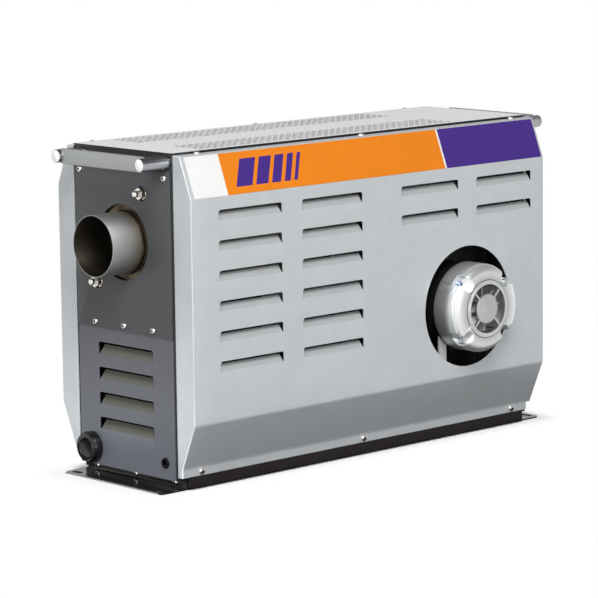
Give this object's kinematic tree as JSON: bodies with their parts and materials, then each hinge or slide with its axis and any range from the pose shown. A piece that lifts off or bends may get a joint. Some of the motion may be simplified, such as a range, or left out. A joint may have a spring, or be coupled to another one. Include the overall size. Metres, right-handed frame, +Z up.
{
  "type": "electric forced air heater",
  "caption": "Free-standing electric hot-air generator: louvred folded cabinet on slotted feet, stainless outlet tube at one end, side blower motor and a carrying handle at each end.",
  "frame": {"origin": "floor level, under the centre of the overall box", "axes": "+X from the outlet tube towards the rear end, +Y from the motor side towards the far side, +Z up"},
  "size_m": [0.7054, 0.2866, 0.4113],
  "materials": {
    "cabinet_paint": "satin silver-grey paint",
    "cover_paint": "satin pale silver paint",
    "dark_plate_paint": "satin dark grey paint",
    "dark_frame_paint": "satin charcoal paint",
    "grey_plate_paint": "satin blue-grey paint",
    "bracket_paint": "satin light grey paint",
    "galvanised_sheet": "zinc-coated sheet",
    "foot_paint": "gloss black paint",
    "stainless_tube": "brushed stainless with a light heat tint",
    "stainless_steel": "brushed stainless darkened by heat",
    "handle_post_metal": "satin turned metal",
    "handle_grip_metal": "satin mid-grey paint",
    "bright_fastener": "bright nickel plate",
    "cast_aluminium": "fine sand-cast and machined",
    "bearing_steel": "ground steel",
    "core_steel": "stacked laminations",
    "copper": "enamelled copper wire",
    "mineral_wool": "glass-cloth wrap",
    "rod_sheath": "oxidised heating sheath",
    "ceramic": "unglazed ceramic",
    "black_plastic": "moulded plastic",
    "fan_plastic": "moulded grey plastic",
    "black_rubber": "soft rubber"
  },
  "bodies": {
    "housing": {"back_side_panel": "cabinet_paint", "back_top_rail": "galvanised_sheet", "base_pan": "dark_frame_paint", "bell_bolts": "bright_fastener", "blower_back_plate": "galvanised_sheet", "blower_inlet_cover": "galvanised_sheet", "blower_rod_support": "ceramic", "blower_scroll": "galvanised_sheet", "cable_gland": "black_plastic", "control_grommet": "black_rubber", "drive_bearing": "bearing_steel", "drive_end_shield": "cast_aluminium", "drive_winding": "copper", "duct_adapter": "stainless_steel", "end_plate_screws": "bright_fastener", "flange_studs": "bright_fastener", "foot_screws": "bright_fastener", "front_bearing": "bearing_steel", "front_end_shield": "cast_aluminium", "front_side_panel": "cabinet_paint", "front_top_rail": "galvanised_sheet", "front_winding": "copper", "gland_locknut": "black_plastic", "handle_nuts": "bright_fastener", "heater_case": "stainless_steel", "heater_mount_plate": "stainless_steel", "heater_saddle": "galvanised_sheet", "heating_rods": "rod_sheath", "inlet_ring": "galvanised_sheet", "insulation_jacket": "mineral_wool", "lower_end_plate": "grey_plate_paint", "motor_bell": "cast_aluminium", "motor_bracket": "bracket_paint", "motor_frame": "dark_frame_paint", "outlet_end_frame": "dark_frame_paint", "outlet_foot": "foot_paint", "outlet_handle_back_post": "handle_post_metal", "outlet_handle_front_post": "handle_post_metal", "outlet_handle_grip": "handle_grip_metal", "outlet_rod_support": "ceramic", "outlet_tube": "stainless_tube", "rear_end_frame": "dark_frame_paint", "rear_end_plate": "grey_plate_paint", "rear_foot": "foot_paint", "rear_handle_back_post": "handle_post_metal", "rear_handle_front_post": "handle_post_metal", "rear_handle_grip": "handle_grip_metal", "scroll_stand": "galvanised_sheet", "seam_screws": "bright_fastener", "stator_core": "core_steel", "strip_screws": "bright_fastener", "stud_nuts": "bright_fastener", "terminal_block": "black_plastic", "top_cover": "cover_paint", "top_flange_screws": "bright_fastener", "upper_end_plate": "dark_plate_paint"},
    "rotor": {"motor_shaft": "bearing_steel", "rotor_core": "core_steel", "impeller": "galvanised_sheet", "cooling_fan": "fan_plastic"}
  },
  "joints": [
    {"name": "rotor_spin", "type": "hinge", "parent": "housing", "child": "rotor", "pos_m": [0.1687, 0, 0.1755], "axis": [0, 1, 0], "continuous": true}
  ]
}
